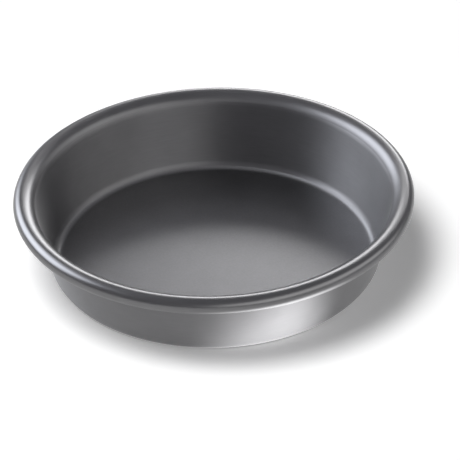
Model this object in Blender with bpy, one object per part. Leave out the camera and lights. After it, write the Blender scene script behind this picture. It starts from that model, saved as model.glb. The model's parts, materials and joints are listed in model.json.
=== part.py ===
"""Deep dish pizza pan: a round tapered shell drawn from one sheet, its rim rolled round a steel rod."""

from math import ceil, cos, hypot, pi, radians, sin, tan

import bmesh
import bpy

# Driving dimensions, in metres and radians
MOUTH_DIAMETER = 0.2286  # inside, at the top of the straight wall: a nine inch pan
DEPTH = 0.0508  # from the rim's crest down to the floor: two inches
WALL_TAPER = radians(12.1)  # the wall's lean outwards from upright
SHEET = 0.0016  # the shell's thickness
CORNER_RADIUS = 0.0064  # the bend from floor to wall, on the food side
ROD_DIAMETER = 0.0064  # the rod that stiffens the rim
ROD_BUTT_GAP = 0.0010  # between the rod's two ends
CLEARANCE = 0.0003  # between rod and sheet, and between the roll's edge and the wall
LIP_EASE = 0.0048  # how much wider the bend from wall to crest is than the roll
TAIL_EASE = 0.0015  # how much wider the roll is on its last quarter, behind the rod

# Facets
ROUND_SEGMENTS = 96
ROD_SIDES = 12
ARC_STEP = radians(20)  # the largest turn of one facet along the profile
SHARP_ANGLE = radians(50)
WELD = 0.00001

# What follows from the driving dimensions
HEIGHT = DEPTH + SHEET
ROLL_RADIUS = ROD_DIAMETER / 2 + CLEARANCE + SHEET
LIP_RADIUS = ROLL_RADIUS + LIP_EASE
TAIL_RADIUS = ROLL_RADIUS + TAIL_EASE
BASE_BEND = CORNER_RADIUS + SHEET
CREST_RADIUS = MOUTH_DIAMETER / 2 + LIP_RADIUS * cos(WALL_TAPER)

# Centres of the profile's bends, as (distance from the axis, height)
LIP_CENTRE = (CREST_RADIUS, HEIGHT - LIP_RADIUS)
ROLL_CENTRE = (CREST_RADIUS, HEIGHT - ROLL_RADIUS)
TAIL_CENTRE = (CREST_RADIUS, HEIGHT - 2 * ROLL_RADIUS + TAIL_RADIUS)
CORNER_CENTRE = (
    CREST_RADIUS
    - (LIP_RADIUS - SHEET + BASE_BEND) / cos(WALL_TAPER)
    - (LIP_CENTRE[1] - BASE_BEND) * tan(WALL_TAPER),
    BASE_BEND,
)

# Directions on those bends, counted from outwards and turning towards upwards
CREST = radians(90)
WALL_INWARD = pi - WALL_TAPER
WALL_OUTWARD = -WALL_TAPER
DOWN = radians(-90)


def clear_scene():
    for item in list(bpy.data.objects):
        bpy.data.objects.remove(item, do_unlink=True)


def metal(name, colour, roughness, metallic):
    made = bpy.data.materials.new(name)
    made.use_nodes = True
    shader = made.node_tree.nodes["Principled BSDF"]
    shader.inputs["Base Color"].default_value = (*colour, 1)
    shader.inputs["Roughness"].default_value = roughness
    shader.inputs["Metallic"].default_value = metallic
    made.diffuse_color = (*colour, 1)
    return made


def anodised_aluminium():
    return metal("anodised_aluminium", (0.095, 0.095, 0.102), roughness=0.36, metallic=0.9)


def bright_steel():
    return metal("bright_steel", (0.52, 0.52, 0.53), roughness=0.35, metallic=1)


def on_arc(centre, radius, angle):
    return (centre[0] + radius * cos(angle), centre[1] + radius * sin(angle))


def arc(centre, radius, start, end):
    """Points of a round stretch, in facets of at most ARC_STEP."""
    steps = max(1, ceil(abs(end - start) / ARC_STEP))
    return [on_arc(centre, radius, start + (end - start) * i / steps) for i in range(steps + 1)]


def room_to_wall(point):
    """Distance from a point behind the rod to the wall's outer face."""
    across = point[0] - LIP_CENTRE[0]
    up = point[1] - LIP_CENTRE[1]
    along_wall = sin(WALL_TAPER) * across + cos(WALL_TAPER) * up
    off_wall = -cos(WALL_TAPER) * across + sin(WALL_TAPER) * up
    reach = hypot(across, up) if along_wall > 0 else off_wall
    return LIP_RADIUS - SHEET - reach


def tail_end():
    """The angle at which the rolled edge reaches the wall, short of it by the clearance."""
    angle = DOWN
    step = radians(0.25)
    while angle - step > -pi:
        if room_to_wall(on_arc(TAIL_CENTRE, TAIL_RADIUS, angle - step)) < CLEARANCE:
            break
        angle -= step
    return angle


def sheet_side(inset):
    """The bends of the sheet, from the floor to the rolled edge, this far behind its food side."""
    return (
        arc(CORNER_CENTRE, CORNER_RADIUS + inset, DOWN, WALL_OUTWARD)
        + arc(LIP_CENTRE, LIP_RADIUS - inset, WALL_INWARD, CREST)
        + arc(ROLL_CENTRE, ROLL_RADIUS - inset, CREST, DOWN)[1:]
        + arc(TAIL_CENTRE, TAIL_RADIUS - inset, DOWN, tail_end())[1:]
    )


def pan_profile():
    """Half the shell's section, from the middle of the floor round the rim to the middle of the base."""
    food_side = sheet_side(0)
    under_side = sheet_side(SHEET)
    return [(0, SHEET), *food_side, *reversed(under_side), (0, 0)]


def spun(profile, closed, sweep):
    """A mesh of the profile turned round the Z axis."""
    bm = bmesh.new()
    verts = [bm.verts.new((across, 0, up)) for across, up in profile]
    ends = verts[1:] + verts[:1] if closed else verts[1:]
    edges = [bm.edges.new(pair) for pair in zip(verts, ends)]
    bmesh.ops.spin(
        bm,
        geom=verts + edges,
        cent=(0, 0, 0),
        axis=(0, 0, 1),
        angle=sweep,
        steps=ROUND_SEGMENTS,
    )
    bmesh.ops.remove_doubles(bm, verts=bm.verts, dist=WELD)
    bmesh.ops.holes_fill(bm, edges=[edge for edge in bm.edges if edge.is_boundary])
    bmesh.ops.recalc_face_normals(bm, faces=bm.faces)
    return bm


def add_object(name, bm, material):
    mesh = bpy.data.meshes.new(name)
    bm.to_mesh(mesh)
    bm.free()
    mesh.shade_smooth()
    mesh.set_sharp_from_angle(angle=SHARP_ANGLE)
    mesh.materials.append(material)
    made = bpy.data.objects.new(name, mesh)
    bpy.context.collection.objects.link(made)
    return made


def make_pan_shell():
    """Floor, wall, lip and roll, all one sheet."""
    return add_object("pan_shell", spun(pan_profile(), closed=False, sweep=2 * pi), anodised_aluminium())


def make_rim_rod():
    """A round rod bent into a ring, its ends butted together inside the roll."""
    turn = 2 * pi / ROD_SIDES
    section = [on_arc(ROLL_CENTRE, ROD_DIAMETER / 2, turn * i) for i in range(ROD_SIDES)]
    ring = spun(section, closed=True, sweep=2 * pi - ROD_BUTT_GAP / CREST_RADIUS)
    return add_object("rim_rod", ring, bright_steel())


clear_scene()
make_pan_shell()
make_rim_rod()
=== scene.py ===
"""Looks of the deep dish pizza pan: a finely turned shell in satin anodised sheet, on a white table."""

import json
from math import ceil, cos, hypot, pi, radians, sin, tan

import bmesh
import bpy
from mathutils import Matrix, Vector


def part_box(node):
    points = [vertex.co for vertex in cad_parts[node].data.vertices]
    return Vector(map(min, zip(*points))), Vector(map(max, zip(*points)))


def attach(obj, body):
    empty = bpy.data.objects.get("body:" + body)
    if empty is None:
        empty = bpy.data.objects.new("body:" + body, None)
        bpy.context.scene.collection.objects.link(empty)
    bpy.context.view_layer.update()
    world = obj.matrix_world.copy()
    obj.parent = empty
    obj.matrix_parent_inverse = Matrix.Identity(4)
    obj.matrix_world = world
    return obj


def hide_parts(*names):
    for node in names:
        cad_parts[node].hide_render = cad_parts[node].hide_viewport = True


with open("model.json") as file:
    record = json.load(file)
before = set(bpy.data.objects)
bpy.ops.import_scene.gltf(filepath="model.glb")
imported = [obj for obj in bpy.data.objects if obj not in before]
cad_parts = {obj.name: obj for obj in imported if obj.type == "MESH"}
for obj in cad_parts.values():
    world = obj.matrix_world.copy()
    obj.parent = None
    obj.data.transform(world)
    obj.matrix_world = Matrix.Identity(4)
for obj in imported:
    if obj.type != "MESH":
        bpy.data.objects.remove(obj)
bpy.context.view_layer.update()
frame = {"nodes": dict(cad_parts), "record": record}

# Sizes that the frame gives, in metres
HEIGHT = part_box("pan_shell")[1].z
ROD_LOW, ROD_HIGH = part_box("rim_rod")
SHEET = next(mount["pos_m"][2] for mount in frame["record"]["mounts"] if mount["name"] == "floor")
ROD_RADIUS = (ROD_HIGH.z - ROD_LOW.z) / 2
CREST_RADIUS = ROD_HIGH.x - ROD_RADIUS
ROLL_RADIUS = HEIGHT - (ROD_LOW.z + ROD_HIGH.z) / 2

# Sizes of the shell's bends, as its solid has them
WALL_TAPER = radians(12.1)  # the wall's lean outwards from upright
CORNER_RADIUS = 0.0064  # the bend from floor to wall, on the food side
LIP_EASE = 0.0048  # how much wider the bend from wall to crest is than the roll
TAIL_EASE = 0.0015  # how much wider the roll is on its last quarter, behind the rod
EDGE_GAP = 0.0003  # between the roll's edge and the wall
EDGE_ROUNDING = 0.0003  # how far the sheet's worn end bulges

# What follows from them
LIP_RADIUS = ROLL_RADIUS + LIP_EASE
TAIL_RADIUS = ROLL_RADIUS + TAIL_EASE
BASE_BEND = CORNER_RADIUS + SHEET

# Centres of the profile's bends, as (distance from the axis, height)
LIP_CENTRE = (CREST_RADIUS, HEIGHT - LIP_RADIUS)
ROLL_CENTRE = (CREST_RADIUS, HEIGHT - ROLL_RADIUS)
TAIL_CENTRE = (CREST_RADIUS, HEIGHT - 2 * ROLL_RADIUS + TAIL_RADIUS)
CORNER_CENTRE = (
    CREST_RADIUS
    - (LIP_RADIUS - SHEET + BASE_BEND) / cos(WALL_TAPER)
    - (LIP_CENTRE[1] - BASE_BEND) * tan(WALL_TAPER),
    BASE_BEND,
)

# Directions on those bends, counted from outwards and turning towards upwards
CREST = radians(90)
WALL_INWARD = pi - WALL_TAPER
WALL_OUTWARD = -WALL_TAPER
DOWN = radians(-90)
SATIN_END = radians(-45)  # on the corner, where the floor's finish gives way to the wall's
TURNED_END = radians(150)  # on the lip, where the wall's finish gives way to the rim's

# Fineness of the turned mesh
ROUND_SEGMENTS = 288
ARC_STEP = radians(6)
STRAIGHT_STEP = 0.0050
EDGE_STEPS = 6
TAIL_STEP = radians(0.25)

# The film: its colour, its lightness against the wall's, and its roughness
FILM_COLOUR = (0.2, 0.199, 0.204)
FILM_SWING = 0.022  # how far its mottling takes it to either side
FLOOR_TONE = 1.1  # also on the corner and the base
WALL_TONE = 1.0
RIM_TONE = 0.85
FLOOR_ROUGHNESS = 0.34
CORNER_ROUGHNESS = 0.52
WALL_ROUGHNESS = 0.44
LIP_ROUGHNESS = 0.55
RIM_ROUGHNESS = 0.3
UNDER_ROUGHNESS = 0.45  # on the roll's under side
LIP_SPAN = 0.5 * LIP_RADIUS  # how far outwards the lip's roughness goes over into the rim's

# Grain and clouds of the floor, and clouds of wall and rim, whose scales are in cells to the metre
GRAIN_SCALE = 750
FLOOR_CLOUD_SCALE = 45
CLOUD_SCALE = 38
GRAIN_SHARE = 0.6  # the grain's part in the mottling, whose rest is clouds
GRAIN_DEPTH = 0.000003
FLOOR_STRAY = 0.02  # how far the clouds take the roughness to either side

# Turning marks of wall and rim
MARKS_ALONG = 420  # in cells from end to end of the profile
MARKS_AROUND = 9  # in cells to the radian, so that a mark is long and thin
MARK_SHARE = 0.45  # their part in the mottling, whose rest is clouds
WALL_MARK_DEPTH = 0.000004
RIM_MARK_DEPTH = 0.000002
WALL_STRAY = 0.03  # how far they take the roughness to either side
RIM_STRAY = 0.02
WALL_ANISOTROPY = 0.85  # how far they draw out the gloss
ACROSS_MARKS = 0.25  # the way that they draw it, as a share of a full turn

# Steel of the rod
STEEL_COLOUR = (0.54, 0.54, 0.55)
STEEL_SWING = 0.06
STEEL_ROUGHNESS = 0.36
STEEL_STRAY = 0.06
STEEL_GRAIN_SCALE = 900

# Table and room
TABLE_REACH = 2.0  # from its middle to its edges
TABLE_COLOUR = (0.95, 0.95, 0.95)
TABLE_GLOW = 0.2  # what it adds for the camera, to be as white as the room behind it
# Painted glow: the table shines plain white to the metal's gloss alone, though it is no lamp, more
# strongly close to the pan than further off. It shows as painted reflections in the outer wall and the
# roll.
NEAR_PAINTED_GLOW = 0.7  # the share of plain white that the metal's gloss sees in it, close to the pan
FAR_PAINTED_GLOW = 0.21  # and further off
PAINTED_GLOW_REACH = (0.17, 0.34)  # distances from the pan's axis between which the one fades into the other
ROOM_LIGHT = 0.08  # the room's brightness on the table
ROOM_SHEEN = 0.34  # and in the metal's gloss
ROOM_COLOUR = (0.98, 0.975, 1.03)

# Lamps
WHITE = (1, 1, 1)
COOL_WHITE = (0.9, 0.935, 1.0)
WARM_WHITE = (1.0, 0.995, 0.97)
CARD_AZIMUTH = 153  # in degrees, where a bright card lies beside the pan, facing up
CARD_REACH = 0.13  # from the pan's axis to the card's middle
CARD_HEIGHT = 0.001
CARD_SIZE = (0.17, 0.08)

# Camera, as fitted to the photograph's outlines
PHOTO_SIZE = 460
FOCAL_PIXELS = 2963.0
SENSOR_WIDTH = 36.0
CAMERA_DISTANCE = 1.9347  # from the middle of the pan's base
CAMERA_ELEVATION = radians(34.18)
CAMERA_ROLL = radians(-1.740)
AIM_RIGHT = radians(0.295)  # how far it looks to the right of that middle
AIM_UP = radians(0.483)  # and above it

# A Mix node's sockets for colours, which share their names with its other sockets
MIX_FIRST = 6
MIX_SECOND = 7
MIX_RESULT = 2


def add_object(name, data):
    made = bpy.data.objects.new(name, data)
    bpy.context.scene.collection.objects.link(made)
    return made


def on_arc(centre, radius, angle):
    return (centre[0] + radius * cos(angle), centre[1] + radius * sin(angle))


def arc(centre, radius, start, end):
    """Points of a round stretch, in facets of at most ARC_STEP."""
    steps = max(1, ceil(abs(end - start) / ARC_STEP))
    return [on_arc(centre, radius, start + (end - start) * i / steps) for i in range(steps + 1)]


def straight(start, end):
    """Points between two others, without them."""
    steps = max(1, ceil(hypot(end[0] - start[0], end[1] - start[1]) / STRAIGHT_STEP))
    return [
        (start[0] + (end[0] - start[0]) * i / steps, start[1] + (end[1] - start[1]) * i / steps)
        for i in range(1, steps)
    ]


def room_to_wall(point):
    """Distance from a point behind the rod to the wall's outer face."""
    across = point[0] - LIP_CENTRE[0]
    up = point[1] - LIP_CENTRE[1]
    along_wall = sin(WALL_TAPER) * across + cos(WALL_TAPER) * up
    off_wall = -cos(WALL_TAPER) * across + sin(WALL_TAPER) * up
    reach = hypot(across, up) if along_wall > 0 else off_wall
    return LIP_RADIUS - SHEET - reach


def tail_end():
    """The angle at which the rolled edge reaches the wall, short of it by the gap."""
    angle = DOWN
    while angle - TAIL_STEP > -pi:
        if room_to_wall(on_arc(TAIL_CENTRE, TAIL_RADIUS, angle - TAIL_STEP)) < EDGE_GAP:
            break
        angle -= TAIL_STEP
    return angle


def sheet_side(inset):
    """The sheet's outline from the floor's edge to the rolled edge, this far behind its food side."""
    corner = arc(CORNER_CENTRE, CORNER_RADIUS + inset, DOWN, WALL_OUTWARD)
    lip = arc(LIP_CENTRE, LIP_RADIUS - inset, WALL_INWARD, CREST)
    roll = arc(ROLL_CENTRE, ROLL_RADIUS - inset, CREST, DOWN)[1:]
    tail = arc(TAIL_CENTRE, TAIL_RADIUS - inset, DOWN, tail_end())[1:]
    return corner + straight(corner[-1], lip[0]) + lip + roll + tail


def rounded_edge():
    """The worn end of the sheet behind the rod, from its food side to its under side."""
    angle = tail_end()
    middle = on_arc(TAIL_CENTRE, TAIL_RADIUS - SHEET / 2, angle)
    points = []
    for i in range(1, EDGE_STEPS):
        outwards = cos(pi * i / EDGE_STEPS) * SHEET / 2
        onwards = sin(pi * i / EDGE_STEPS) * EDGE_ROUNDING
        across = outwards * cos(angle) + onwards * sin(angle)
        up = outwards * sin(angle) - onwards * cos(angle)
        points.append((middle[0] + across, middle[1] + up))
    return points


def shell_profile():
    """Half the shell's section, from the middle of the floor round the rim to the middle of the base."""
    food_side = sheet_side(0)
    under_side = sheet_side(SHEET)
    floor = straight((0, SHEET), food_side[0])
    base = straight(under_side[0], (0, 0))
    return [(0, SHEET), *floor, *food_side, *rounded_edge(), *reversed(under_side), *base, (0, 0)]


def distances_along(profile):
    """How far along the profile each of its points lies, as a share of its length."""
    reached = [0.0]
    for last, point in zip(profile, profile[1:]):
        reached.append(reached[-1] + hypot(point[0] - last[0], point[1] - last[1]))
    return [distance / reached[-1] for distance in reached]


def turned(name, profile):
    """A closed body of revolution. Its UV map runs once round the axis and along the profile."""
    bm = bmesh.new()
    uv = bm.loops.layers.uv.new("turning")
    shares = distances_along(profile)
    turns = [2 * pi * i / ROUND_SEGMENTS for i in range(ROUND_SEGMENTS)]
    rings = [
        [bm.verts.new((across * cos(turn), across * sin(turn), up)) for turn in turns]
        for across, up in profile[1:-1]
    ]
    poles = [bm.verts.new((0, 0, profile[0][1])), bm.verts.new((0, 0, profile[-1][1]))]

    def add_face(corners):
        """A face from (vertex, turns round, share along) corners."""
        face = bm.faces.new([vert for vert, _, _ in corners])
        for loop, (_, round_share, along_share) in zip(face.loops, corners):
            loop[uv].uv = (round_share, along_share)

    for i in range(ROUND_SEGMENTS):
        j = (i + 1) % ROUND_SEGMENTS
        here = i / ROUND_SEGMENTS
        there = (i + 1) / ROUND_SEGMENTS
        middle = (here + there) / 2
        for k in range(len(rings) - 1):
            inner = shares[k + 1]
            outer = shares[k + 2]
            add_face([
                (rings[k][i], here, inner),
                (rings[k + 1][i], here, outer),
                (rings[k + 1][j], there, outer),
                (rings[k][j], there, inner),
            ])
        add_face([
            (poles[0], middle, 0),
            (rings[0][i], here, shares[1]),
            (rings[0][j], there, shares[1]),
        ])
        add_face([
            (poles[1], middle, 1),
            (rings[-1][j], there, shares[-2]),
            (rings[-1][i], here, shares[-2]),
        ])
    mesh = bpy.data.meshes.new(name)
    bm.to_mesh(mesh)
    bm.free()
    mesh.shade_smooth()
    return add_object(name, mesh)


def add_node(material, kind, links=(), **settings):
    """A node of this kind. Links are (input, socket or value) pairs, and settings are its own values."""
    made = material.node_tree.nodes.new(kind)
    for name, value in settings.items():
        setattr(made, name, value)
    for place, source in links:
        if hasattr(source, "is_output"):
            material.node_tree.links.new(source, made.inputs[place])
        else:
            made.inputs[place].default_value = source
    return made


def join(material, source, target):
    material.node_tree.links.new(source, target)


def maths(material, operation, *values):
    return add_node(material, "ShaderNodeMath", enumerate(values), operation=operation).outputs[0]


def vector_maths(material, operation, *values):
    """The vector that an operation gives, or the number that LENGTH gives."""
    made = add_node(material, "ShaderNodeVectorMath", enumerate(values), operation=operation)
    return made.outputs["Value" if operation == "LENGTH" else "Vector"]


def spread(material, value, low, high, start=0.25, end=0.75, smooth=False):
    """A value that runs from start to end, spread over low to high."""
    reach = [("From Min", start), ("From Max", end), ("To Min", low), ("To Max", high)]
    kind = "SMOOTHSTEP" if smooth else "LINEAR"
    made = add_node(material, "ShaderNodeMapRange", [("Value", value), *reach], interpolation_type=kind)
    return made.outputs["Result"]


def mix(material, amount, first, second):
    """A colour from the first to the second, as the amount goes from 0 to 1."""
    links = [("Factor", amount), (MIX_FIRST, (*first, 1)), (MIX_SECOND, (*second, 1))]
    return add_node(material, "ShaderNodeMix", links, data_type="RGBA").outputs[MIX_RESULT]


def noise(material, place, scale, detail, rough=0.5):
    links = [("Vector", place), ("Scale", scale), ("Detail", detail), ("Roughness", rough)]
    return add_node(material, "ShaderNodeTexNoise", links).outputs["Fac"]


def place_on(material):
    """Where a point is, in its object's own frame, in metres."""
    return add_node(material, "ShaderNodeTexCoord").outputs["Object"]


def off_axis(material):
    """The level vector from the pan's axis to a point, in metres."""
    return vector_maths(material, "MULTIPLY", place_on(material), (1, 1, 0))


def height_on(material):
    """How high above the table a point is, in metres."""
    return add_node(material, "ShaderNodeSeparateXYZ", [("Vector", place_on(material))]).outputs["Z"]


def turning_place(material):
    """Coordinates for marks that run round the axis."""
    around = vector_maths(material, "NORMALIZE", off_axis(material))
    stretched = vector_maths(material, "MULTIPLY", around, (MARKS_AROUND, MARKS_AROUND, MARKS_AROUND))
    turning = add_node(material, "ShaderNodeUVMap", uv_map="turning").outputs["UV"]
    share_along = add_node(material, "ShaderNodeSeparateXYZ", [("Vector", turning)]).outputs["Y"]
    along = maths(material, "MULTIPLY", share_along, MARKS_ALONG)
    upright = add_node(material, "ShaderNodeCombineXYZ", [("Z", along)]).outputs["Vector"]
    return vector_maths(material, "ADD", stretched, upright)


def new_metal(name, colour, roughness):
    """A metal of a plain colour and roughness, which its nodes then vary."""
    made = bpy.data.materials.new(name)
    made.use_nodes = True
    shader = made.node_tree.nodes["Principled BSDF"]
    shader.inputs["Base Color"].default_value = (*colour, 1)
    shader.inputs["Roughness"].default_value = roughness
    shader.inputs["Metallic"].default_value = 1
    return made, shader


def vary_colour(material, shader, amount, colour, swing, tone=1.0):
    """Takes a colour of this tone from darker to lighter, as the amount goes from 0 to 1."""
    darker = tuple(tone * (part - swing) for part in colour)
    lighter = tuple(tone * (part + swing) for part in colour)
    join(material, mix(material, amount, darker, lighter), shader.inputs["Base Color"])


def vary_roughness(material, shader, pattern, roughness, stray):
    """Lets a pattern take a roughness to either side. The roughness is a number or a socket."""
    varied = maths(material, "ADD", roughness, spread(material, pattern, -stray, stray))
    join(material, varied, shader.inputs["Roughness"])


def mottle(material, shader, fine, clouds, fine_share, tone):
    """Colours the film by a fine pattern and by clouds, whose share is the rest."""
    fine_part = spread(material, fine, 0, fine_share)
    cloud_part = spread(material, clouds, 0, 1 - fine_share)
    amount = maths(material, "ADD", fine_part, cloud_part)
    vary_colour(material, shader, amount, FILM_COLOUR, FILM_SWING, tone)


def relief(material, shader, height, depth):
    links = [("Height", height), ("Distance", depth), ("Strength", 1.0)]
    bump = add_node(material, "ShaderNodeBump", links).outputs["Normal"]
    join(material, bump, shader.inputs["Normal"])


def mark_by_turning(material, shader, tone, depth):
    """Fine marks round the axis, in the film's colour and its relief. Gives their pattern."""
    marks = noise(material, turning_place(material), scale=1, detail=3)
    clouds = noise(material, place_on(material), CLOUD_SCALE, detail=3)
    mottle(material, shader, marks, clouds, MARK_SHARE, tone)
    relief(material, shader, marks, depth)
    return marks


def satin_finish():
    """The film over floor, corner and base, which keeps the even grain of the rolled sheet."""
    made, shader = new_metal("anodised_satin", FILM_COLOUR, FLOOR_ROUGHNESS)
    grain = noise(made, place_on(made), GRAIN_SCALE, detail=4, rough=0.6)
    clouds = noise(made, place_on(made), FLOOR_CLOUD_SCALE, detail=5, rough=0.6)
    mottle(made, shader, grain, clouds, GRAIN_SHARE, FLOOR_TONE)
    relief(made, shader, grain, GRAIN_DEPTH)
    height = height_on(made)
    bend = spread(made, height, FLOOR_ROUGHNESS, CORNER_ROUGHNESS, start=SHEET, end=2 * SHEET, smooth=True)
    vary_roughness(made, shader, clouds, bend, FLOOR_STRAY)
    return made


def turned_finish():
    """The film over the wall, which keeps the fine marks of turning and a sheen drawn out by them."""
    made, shader = new_metal("anodised_turned", FILM_COLOUR, WALL_ROUGHNESS)
    shader.inputs["Anisotropic"].default_value = WALL_ANISOTROPY
    shader.inputs["Anisotropic Rotation"].default_value = ACROSS_MARKS
    tangent = add_node(made, "ShaderNodeTangent", direction_type="UV_MAP", uv_map="turning").outputs[0]
    join(made, tangent, shader.inputs["Tangent"])
    marks = mark_by_turning(made, shader, WALL_TONE, WALL_MARK_DEPTH)
    vary_roughness(made, shader, marks, WALL_ROUGHNESS, WALL_STRAY)
    return made


def rim_finish():
    """The film over lip and roll, rubbed smooth but for the lip's start and the roll's under side."""
    made, shader = new_metal("anodised_rim", FILM_COLOUR, RIM_ROUGHNESS)
    marks = mark_by_turning(made, shader, RIM_TONE, RIM_MARK_DEPTH)
    reach = vector_maths(made, "LENGTH", off_axis(made))
    lip_start = CREST_RADIUS - LIP_RADIUS
    lip_end = lip_start + LIP_SPAN
    lip = spread(made, reach, LIP_ROUGHNESS, RIM_ROUGHNESS, lip_start, lip_end, smooth=True)
    height = height_on(made)
    under = spread(made, height, UNDER_ROUGHNESS, RIM_ROUGHNESS, ROD_LOW.z, ROLL_CENTRE[1], smooth=True)
    vary_roughness(made, shader, marks, maths(made, "MAXIMUM", lip, under), RIM_STRAY)
    return made


def drawn_steel():
    made, shader = new_metal("drawn_steel", STEEL_COLOUR, STEEL_ROUGHNESS)
    grain = noise(made, place_on(made), STEEL_GRAIN_SCALE, detail=2)
    vary_colour(made, shader, grain, STEEL_COLOUR, STEEL_SWING)
    vary_roughness(made, shader, grain, STEEL_ROUGHNESS, STEEL_STRAY)
    return made


def white_table():
    """Matt white that takes the pan's shadow. To the metal's gloss alone it glows plain white in part,
    more strongly close to the pan: a painted glow that makes painted reflections in the outer wall and
    roll.
    """
    made = bpy.data.materials.new("white_table")
    made.use_nodes = True
    shader = made.node_tree.nodes["Principled BSDF"]
    shader.inputs["Base Color"].default_value = (*TABLE_COLOUR, 1)
    shader.inputs["Roughness"].default_value = 1
    shader.inputs["Specular IOR Level"].default_value = 0
    shader.inputs["Emission Color"].default_value = (*WHITE, 1)
    rays = add_node(made, "ShaderNodeLightPath").outputs
    glow = maths(made, "MULTIPLY", rays["Is Camera Ray"], TABLE_GLOW)
    join(made, glow, shader.inputs["Emission Strength"])
    # Painted glow, not a lamp: plain white emission that only glossy rays see, fading from close to the
    # pan to further off.
    plain = add_node(made, "ShaderNodeEmission").outputs[0]
    away = vector_maths(made, "LENGTH", place_on(made))
    sheen = spread(made, away, NEAR_PAINTED_GLOW, FAR_PAINTED_GLOW, *PAINTED_GLOW_REACH, smooth=True)
    share = maths(made, "MULTIPLY", rays["Is Glossy Ray"], sheen)
    both = add_node(made, "ShaderNodeMixShader", [(0, share), (1, shader.outputs[0]), (2, plain)])
    join(made, both.outputs[0], made.node_tree.nodes["Material Output"].inputs["Surface"])
    return made


# The shell's finishes, in the order of its material slots
FINISHES = (satin_finish, turned_finish, rim_finish)
SATIN, TURNED, RIM = range(len(FINISHES))


def finish_at(reach, height):
    """Which finish the sheet has at this distance from the axis and this height."""
    satin_top = on_arc(CORNER_CENTRE, CORNER_RADIUS, SATIN_END)[1]
    turned_top = on_arc(LIP_CENTRE, LIP_RADIUS, TURNED_END)[1]
    if height < satin_top:
        return SATIN
    behind_the_wall = reach > CREST_RADIUS - TAIL_RADIUS - EDGE_GAP
    return RIM if height > turned_top or behind_the_wall else TURNED


def make_shell():
    shell = turned("turned_shell", shell_profile())
    for finish in FINISHES:
        shell.data.materials.append(finish())
    for face in shell.data.polygons:
        face.material_index = finish_at(hypot(face.center.x, face.center.y), face.center.z)
    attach(shell, "root")
    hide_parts("pan_shell")


def finish_rod():
    rod = frame["nodes"]["rim_rod"]
    rod.material_slots[0].material = drawn_steel()


def make_table():
    mesh = bpy.data.meshes.new("table")
    corners = [(TABLE_REACH * x, TABLE_REACH * y, 0) for x, y in ((-1, -1), (1, -1), (1, 1), (-1, 1))]
    mesh.from_pydata(corners, [], [(0, 1, 2, 3)])
    mesh.materials.append(white_table())
    add_object("table", mesh)


def turned_towards(first, second, angle):
    """Two axes at right angles, turned in their own plane, the first towards the second."""
    return first * cos(angle) + second * sin(angle), second * cos(angle) - first * sin(angle)


def make_camera():
    data = bpy.data.cameras.new("camera")
    data.sensor_width = SENSOR_WIDTH
    data.lens = FOCAL_PIXELS / PHOTO_SIZE * SENSOR_WIDTH
    camera = add_object("camera", data)
    place = CAMERA_DISTANCE * Vector((0, -cos(CAMERA_ELEVATION), sin(CAMERA_ELEVATION)))
    ahead = Vector((0, cos(CAMERA_ELEVATION), -sin(CAMERA_ELEVATION)))
    right = Vector((1, 0, 0))
    up = right.cross(ahead)
    ahead, right = turned_towards(ahead, right, AIM_RIGHT)
    ahead, up = turned_towards(ahead, up, AIM_UP)
    right, up = turned_towards(right, up, CAMERA_ROLL)
    turn = Matrix((right, up, -ahead)).transposed().to_4x4()
    camera.matrix_world = Matrix.Translation(place) @ turn
    bpy.context.scene.camera = camera


def fade_to_edges(data, fade):
    """Brightness that falls away towards the lamp's edges, over this share of its half width."""
    data.use_nodes = True
    middle = 0.5
    on_lamp = add_node(data, "ShaderNodeNewGeometry").outputs["Parametric"]
    sides = add_node(data, "ShaderNodeSeparateXYZ", [("Vector", on_lamp)]).outputs
    shares = []
    for side in ("X", "Y"):
        off_middle = maths(data, "ABSOLUTE", maths(data, "SUBTRACT", sides[side], middle))
        shares.append(spread(data, off_middle, 1, 0, start=middle * (1 - fade), end=middle, smooth=True))
    join(data, maths(data, "MULTIPLY", *shares), data.node_tree.nodes["Emission"].inputs["Strength"])


def make_softbox(name, place, aim, size, brightness, fade=0.6, colour=WHITE, roll=0.0):
    """A soft lamp at one place that faces another and is rolled about that line.

    Its size is across and up, in metres, and its face is equally bright at any size.
    """
    data = bpy.data.lights.new(name, "AREA")
    data.shape = "RECTANGLE"
    data.size, data.size_y = size
    data.energy = brightness * pi * data.size * data.size_y
    data.color = colour
    fade_to_edges(data, fade)
    lamp = add_object(name, data)
    away = (place - aim).normalized()
    turn = away.to_track_quat("Z", "Y").to_matrix().to_4x4() @ Matrix.Rotation(roll, 4, "Z")
    lamp.matrix_world = Matrix.Translation(place) @ turn
    lamp.visible_camera = False
    return lamp


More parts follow.
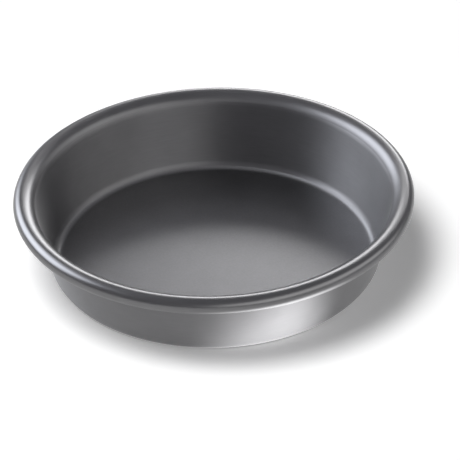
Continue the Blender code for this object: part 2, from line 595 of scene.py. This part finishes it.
def direction(azimuth, elevation):
    """The way to a place seen from the pan, in degrees clockwise from behind it and above the table."""
    turn = radians(azimuth)
    rise = radians(elevation)
    return Vector((sin(turn) * cos(rise), cos(turn) * cos(rise), sin(rise)))


def around_pan(name, azimuth, elevation, distance, width, height, brightness, **looks):
    """A soft lamp in this direction, facing the pan, which sees it this many degrees wide and high."""
    place = direction(azimuth, elevation) * distance
    size = (2 * distance * tan(radians(width) / 2), 2 * distance * tan(radians(height) / 2))
    return make_softbox(name, place, Vector((0, 0, 0)), size, brightness, **looks)


def make_card():
    """A bright card on the table, which shines up at the outer wall and the roll."""
    up = Vector((0, 0, 1))
    place = direction(CARD_AZIMUTH, 0) * CARD_REACH + up * CARD_HEIGHT
    return make_softbox("card", place, place + up, CARD_SIZE, brightness=5.3, fade=1.0)


def make_lights():
    """One lamp lights the table and throws the shadow. The metal's gloss sees the others."""
    key = around_pan(
        "key", azimuth=-112, elevation=69, distance=5.0, width=46, height=46, brightness=12.0, fade=0.8
    )
    key.visible_glossy = False
    shines = [
        around_pan(
            "back", azimuth=11, elevation=22.6, distance=1.0, width=41, height=20, brightness=7.1
        ),
        around_pan(
            "left", azimuth=-59, elevation=31, distance=1.4, width=74, height=50, brightness=5.1,
            colour=COOL_WHITE, roll=radians(14),
        ),
        around_pan(
            "front", azimuth=122, elevation=32, distance=2.8, width=122, height=50, brightness=1.3,
            colour=WARM_WHITE,
        ),
        make_card(),
    ]
    for lamp in shines:
        lamp.visible_diffuse = False


def make_world():
    """White behind the table, and a dim room for the metal's gloss."""
    world = bpy.data.worlds.new("studio")
    world.use_nodes = True
    bpy.context.scene.world = world
    background = world.node_tree.nodes["Background"]
    rays = add_node(world, "ShaderNodeLightPath").outputs
    room = spread(world, rays["Is Glossy Ray"], ROOM_LIGHT, ROOM_SHEEN, start=0, end=1)
    join(world, maths(world, "MAXIMUM", room, rays["Is Camera Ray"]), background.inputs["Strength"])
    join(world, mix(world, rays["Is Camera Ray"], ROOM_COLOUR, WHITE), background.inputs["Color"])


make_shell()
finish_rod()
make_table()
make_camera()
make_lights()
make_world()

bpy.context.scene.view_settings.view_transform = "Standard"
